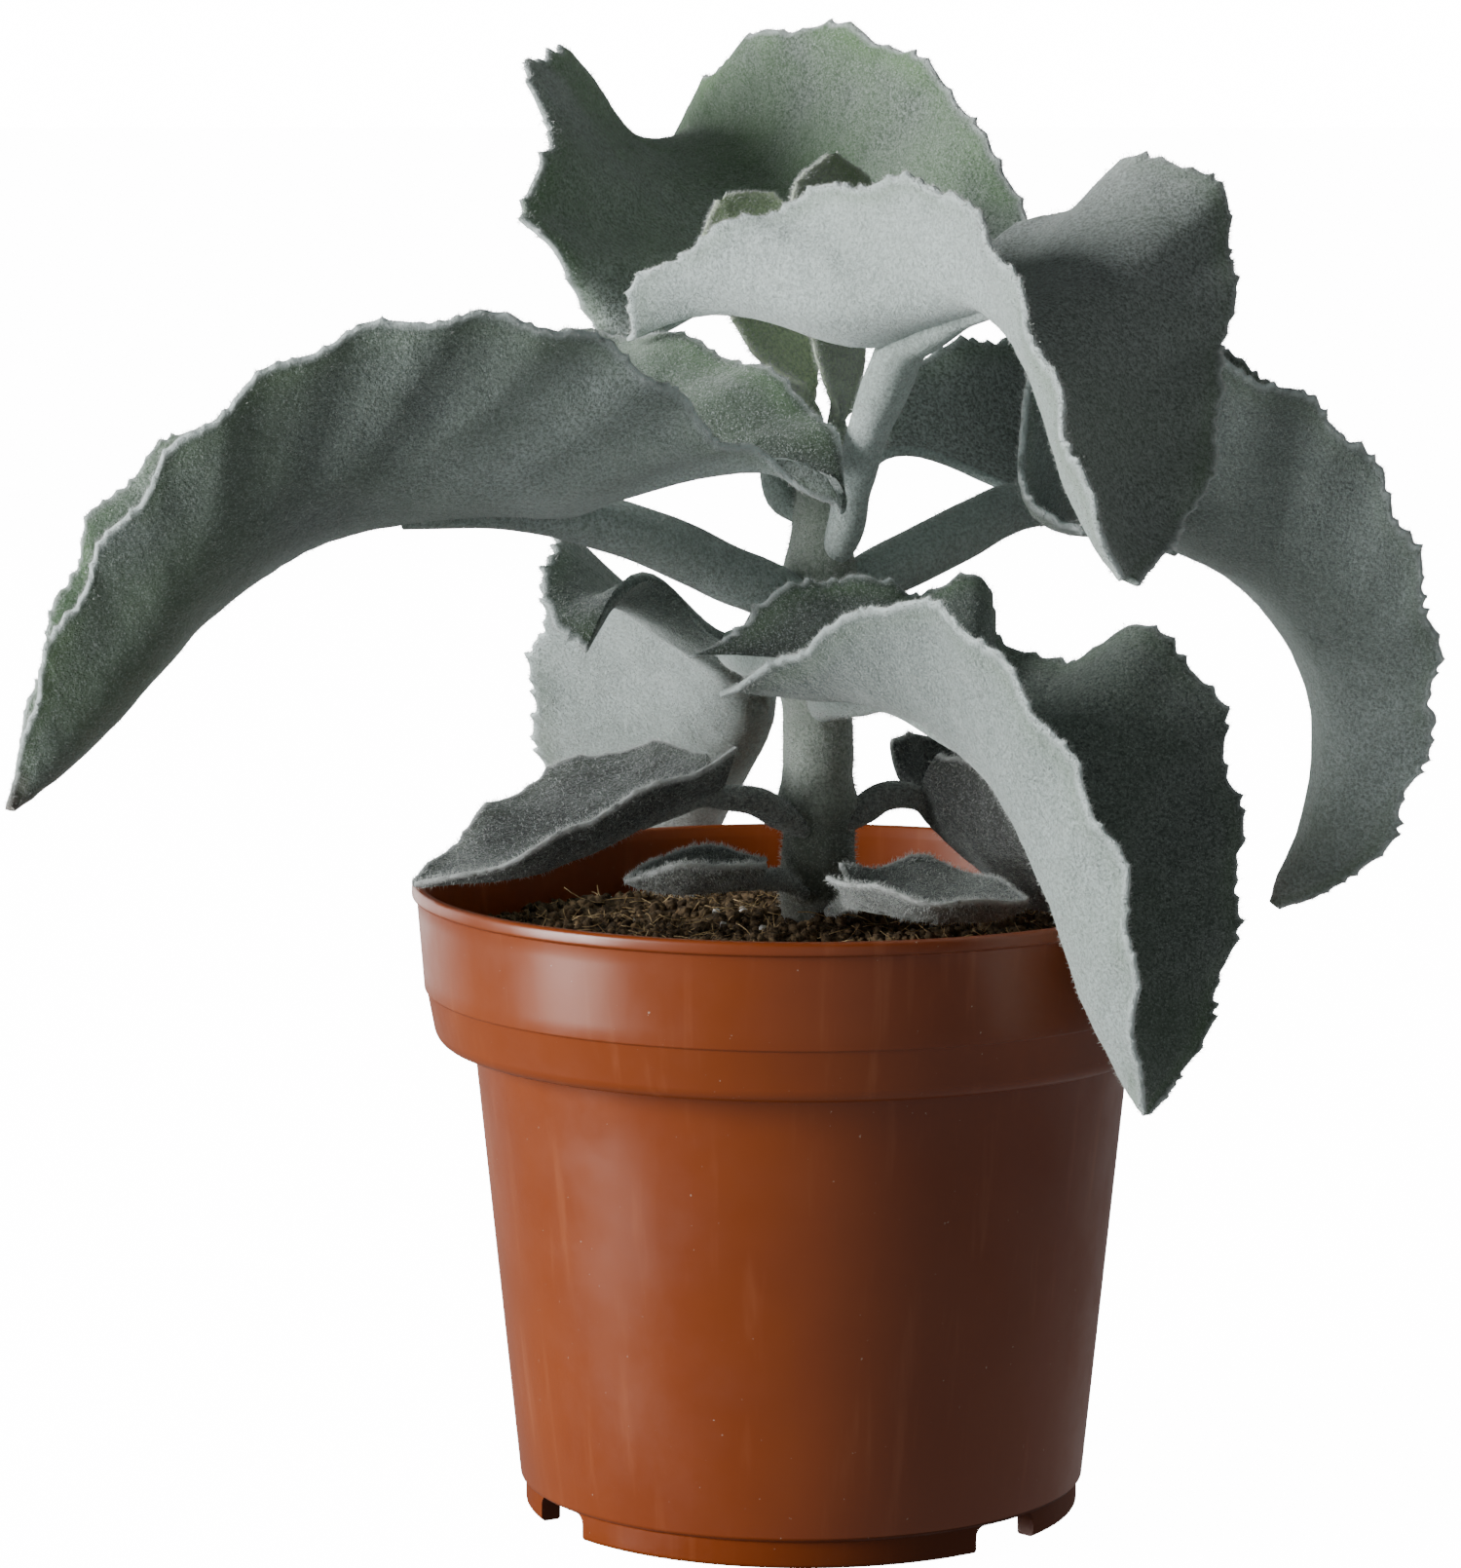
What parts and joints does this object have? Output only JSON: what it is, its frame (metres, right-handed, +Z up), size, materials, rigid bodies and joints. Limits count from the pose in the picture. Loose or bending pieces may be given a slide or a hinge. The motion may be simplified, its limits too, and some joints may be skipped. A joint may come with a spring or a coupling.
{
  "type": "potted kalanchoe",
  "caption": "Felt-leaved kalanchoe with broad grey-green arching leaves on one upright stem, growing in a round terracotta-coloured plastic nursery pot.",
  "frame": {"origin": "middle of the whole plant's footprint (its bounding box) on the plane that the pot's feet stand on; the pot's own axis is 8.2 mm to +X and 16.9 mm to -Y of it", "axes": "+Z up, -Y the front from which the plant is usually seen, +X to the right of someone who looks at that front"},
  "size_m": [0.2167, 0.1737, 0.228],
  "materials": {
    "pot": "injection-moulded plastic with a satin sheen",
    "soil": "crumbly brown peat",
    "stem": "velvety, with short hairs",
    "leaf": "grey-green felt",
    "young_leaf": "pale green felt"
  },
  "bodies": {
    "root": {"pot": "pot", "soil": "soil", "stem": "stem", "leaf_left": "leaf", "leaf_right": "leaf", "leaf_front": "leaf", "leaf_back": "leaf", "leaf_top_front": "leaf", "leaf_top_back": "leaf", "leaf_lower_left": "leaf", "leaf_lower_right": "leaf", "leaf_soil_left": "leaf", "leaf_soil_right": "leaf", "young_leaf_left": "young_leaf", "young_leaf_right": "young_leaf"}
  },
  "joints": []
}
